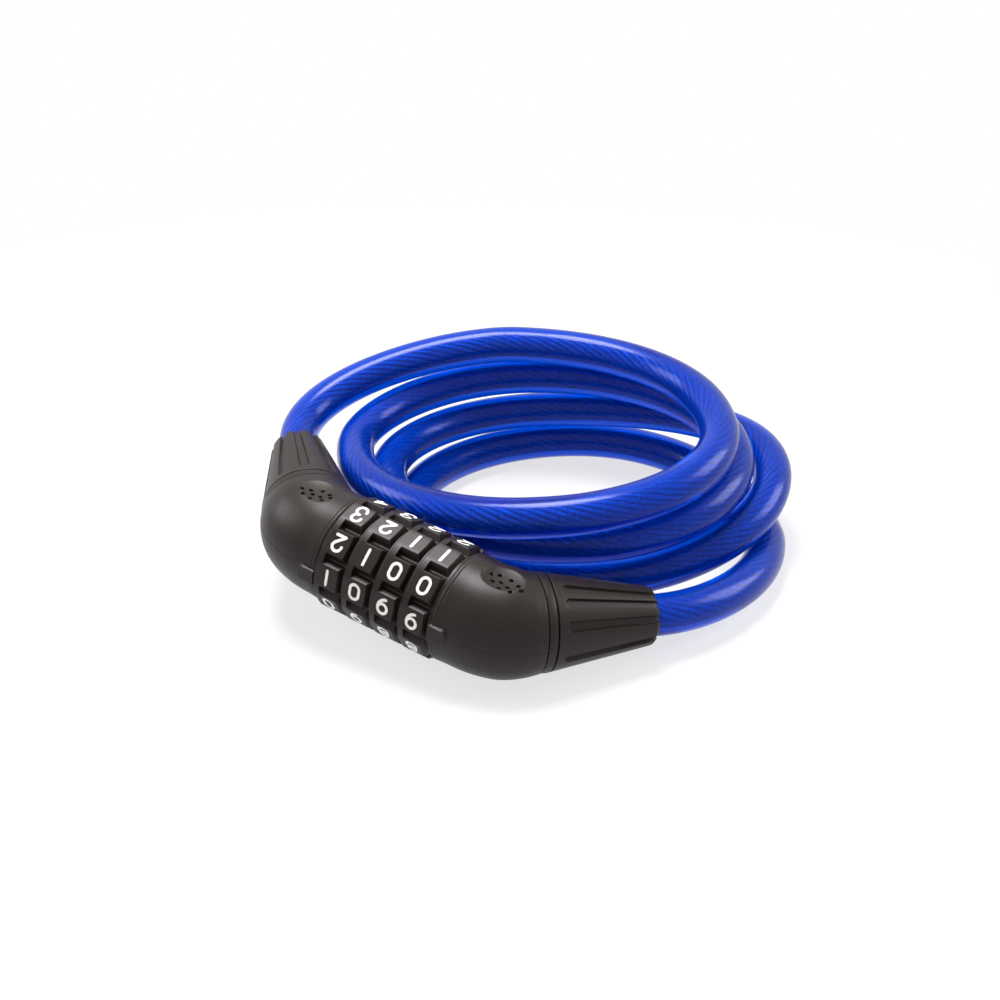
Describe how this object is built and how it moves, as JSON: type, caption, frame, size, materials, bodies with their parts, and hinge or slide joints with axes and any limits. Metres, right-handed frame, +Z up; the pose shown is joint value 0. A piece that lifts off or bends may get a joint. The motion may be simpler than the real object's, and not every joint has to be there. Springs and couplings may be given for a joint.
{
  "type": "cable lock",
  "caption": "Coiled bicycle cable lock: a number-dial head with bent tapered end sleeves, closed on a thick jacketed steel cable.",
  "frame": {"origin": "bottom centre of the lock head's box, on the surface that the lock lies on", "axes": "+Z up; +X along the head towards its barrel end; the coil lies on the +Y side"},
  "size_m": [0.1588, 0.1548, 0.0511],
  "materials": {
    "shell_plastic": "moulded black ABS, fine spark-eroded texture",
    "dial_plastic": "moulded black ABS, satin",
    "digit_paint": "white printed numbers",
    "blue_jacket": "translucent blue PVC, smooth",
    "wire_rope": "twisted bright steel wire",
    "die_cast": "die-cast zinc, as cast",
    "steel": "zinc plated steel",
    "ferrule_metal": "crimped aluminium"
  },
  "bodies": {
    "lock_body": {"barrel": "die_cast", "end_ring": "steel", "barrel_end_shell": "shell_plastic", "barrel_end_collar": "shell_plastic", "barrel_end_sleeve": "shell_plastic", "barrel_end_ferrule": "ferrule_metal", "barrel_end_pin": "steel", "detent_ball_1": "steel", "detent_spring_1": "steel", "detent_ball_2": "steel", "detent_spring_2": "steel", "detent_ball_3": "steel", "detent_spring_3": "steel", "detent_ball_4": "steel", "detent_spring_4": "steel", "coil_jacket": "blue_jacket", "coil_rope": "wire_rope", "tail_jacket": "blue_jacket", "tail_rope": "wire_rope"},
    "plug": {"plug_end_shell": "shell_plastic", "plug_end_collar": "shell_plastic", "plug_end_sleeve": "shell_plastic", "plug_end_ferrule": "ferrule_metal", "plug_end_pin": "steel", "bolt": "steel"},
    "number_ring_1": {"dial_1": "dial_plastic", "digits_1": "digit_paint", "tumbler_1": "die_cast"},
    "number_ring_2": {"dial_2": "dial_plastic", "digits_2": "digit_paint", "tumbler_2": "die_cast"},
    "number_ring_3": {"dial_3": "dial_plastic", "digits_3": "digit_paint", "tumbler_3": "die_cast"},
    "number_ring_4": {"dial_4": "dial_plastic", "digits_4": "digit_paint", "tumbler_4": "die_cast"}
  },
  "joints": [
    {"name": "plug_pull", "type": "slide", "parent": "lock_body", "child": "plug", "axis": [-0.9898, 0, 0.1426], "range_m": [0, 0.045], "deforming": ["tail_jacket", "tail_rope"]},
    {"name": "dial_1_turn", "type": "hinge", "parent": "lock_body", "child": "number_ring_1", "pos_m": [0.00017, -0.00988, 0.02021], "axis": [0.9898, 0, -0.1426], "continuous": true, "deforming": ["detent_ball_1", "detent_spring_1"]},
    {"name": "dial_2_turn", "type": "hinge", "parent": "lock_body", "child": "number_ring_2", "pos_m": [0.00017, -0.00988, 0.02021], "axis": [0.9898, 0, -0.1426], "continuous": true, "deforming": ["detent_ball_2", "detent_spring_2"]},
    {"name": "dial_3_turn", "type": "hinge", "parent": "lock_body", "child": "number_ring_3", "pos_m": [0.00017, -0.00988, 0.02021], "axis": [0.9898, 0, -0.1426], "continuous": true, "deforming": ["detent_ball_3", "detent_spring_3"]},
    {"name": "dial_4_turn", "type": "hinge", "parent": "lock_body", "child": "number_ring_4", "pos_m": [0.00017, -0.00988, 0.02021], "axis": [0.9898, 0, -0.1426], "continuous": true, "deforming": ["detent_ball_4", "detent_spring_4"]}
  ]
}
